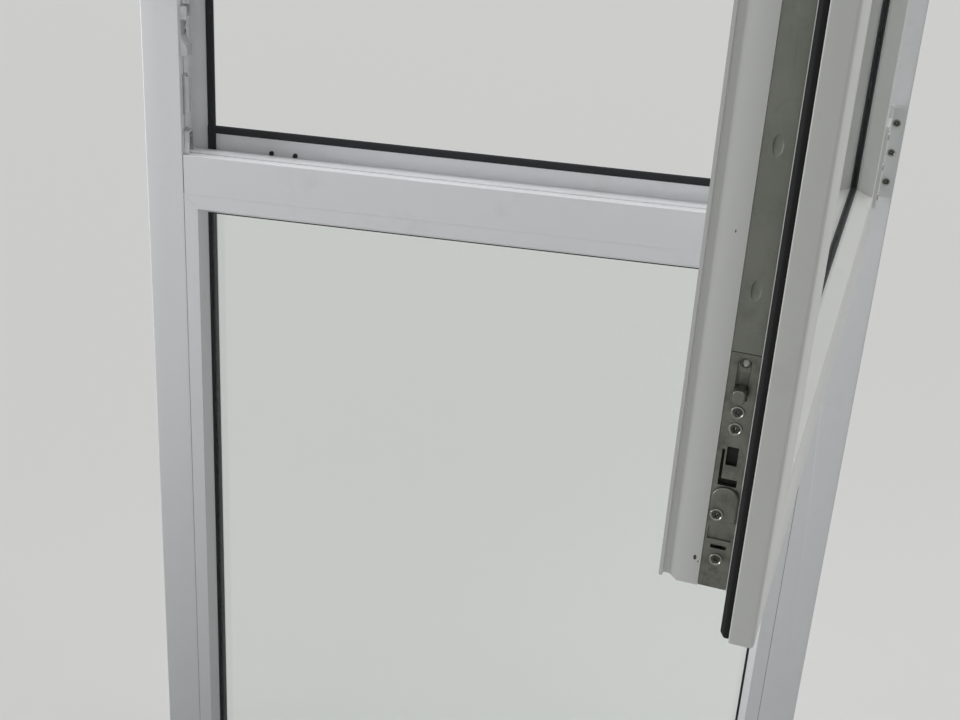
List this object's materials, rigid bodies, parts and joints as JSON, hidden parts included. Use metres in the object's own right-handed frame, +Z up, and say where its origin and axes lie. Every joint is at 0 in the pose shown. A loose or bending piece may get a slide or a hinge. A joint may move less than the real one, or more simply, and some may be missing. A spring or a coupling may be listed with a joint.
{
  "type": "side-hung sash window",
  "caption": "Tall white plastic window frame: fixed glazed light below a transom, and above it a side-hung glazed sash standing open into the room, with lock hardware in its edge.",
  "frame": {"origin": "centre of the bottom face of the outer frame, at the middle of its width and depth", "axes": "+Z up along the jambs, +X to the right seen from the room, towards the hinges, +Y away from the room"},
  "size_m": [0.76, 0.7753, 1.96],
  "materials": {
    "white_upvc": "smooth satin white plastic profile",
    "black_gasket": "matt black sealing rubber",
    "glass": "clear float glass",
    "spacer": "dull aluminium spacer bar",
    "edge_seal": "black edge seal",
    "packer": "plastic glazing packer",
    "lock_steel": "silver-coated steel hardware",
    "cast_keep": "silver-coated cast zinc",
    "screw_steel": "plated steel",
    "white_hinge": "white painted steel",
    "white_handle": "white painted alloy",
    "white_trim": "white plastic trim"
  },
  "bodies": {
    "frame": {"outer_frame": "white_upvc", "transom": "white_upvc", "upper_rebate_gasket": "black_gasket", "lower_outer_gasket": "black_gasket", "lower_glass_outer": "glass", "lower_glass_inner": "glass", "lower_glass_spacer": "spacer", "lower_glass_seal": "edge_seal", "lower_inner_gasket": "black_gasket", "lower_bead_bottom": "white_upvc", "lower_bead_top": "white_upvc", "lower_bead_left": "white_upvc", "lower_bead_right": "white_upvc", "lower_glazing_packers": "packer", "drain_caps": "white_trim", "lock_keeps": "cast_keep", "lifter_ramp": "cast_keep", "corner_keep": "cast_keep", "keep_screws": "screw_steel", "hinge_brackets": "white_hinge", "hinge_pins": "screw_steel", "hinge_caps": "white_trim", "bracket_screws": "screw_steel"},
    "sash": {"sash_frame": "white_upvc", "sash_gasket": "black_gasket", "sash_outer_gasket": "black_gasket", "sash_glass_outer": "glass", "sash_glass_inner": "glass", "sash_glass_spacer": "spacer", "sash_glass_seal": "edge_seal", "sash_inner_gasket": "black_gasket", "sash_bead_bottom": "white_upvc", "sash_bead_top": "white_upvc", "sash_bead_left": "white_upvc", "sash_bead_right": "white_upvc", "sash_glazing_packers": "packer", "gear_faceplate": "lock_steel", "corner_drive_plate": "lock_steel", "sash_lifter": "cast_keep", "hardware_screws": "screw_steel", "gear_case": "cast_keep", "hinge_leaves": "white_hinge", "leaf_screws": "screw_steel", "handle_rosette": "white_handle", "rosette_screws": "screw_steel"},
    "handle": {"handle_lever": "white_handle", "handle_spindle": "lock_steel", "gear_pinion": "lock_steel"},
    "rail": {"lock_rail": "lock_steel", "drive_coupler": "lock_steel", "lock_cams": "lock_steel"}
  },
  "joints": [
    {"name": "turn", "type": "hinge", "parent": "frame", "child": "sash", "pos_m": [0.357, -0.044, 1.3965], "axis": [0, 0, 1], "range_deg": [-81, 29]},
    {"name": "handle_turn", "type": "hinge", "parent": "sash", "child": "handle", "pos_m": [0.29897, -0.71148, 1.3965], "axis": [-0.9877, 0.1564, 0], "range_deg": [0, 90]},
    {"name": "rail_slide", "type": "slide", "parent": "sash", "child": "rail", "axis": [0, 0, 1], "range_m": [0, 0.0158]}
  ],
  "couplings": [
    {"joint": "rail_slide", "follows": "handle_turn", "m_per_rad": 0.01}
  ]
}
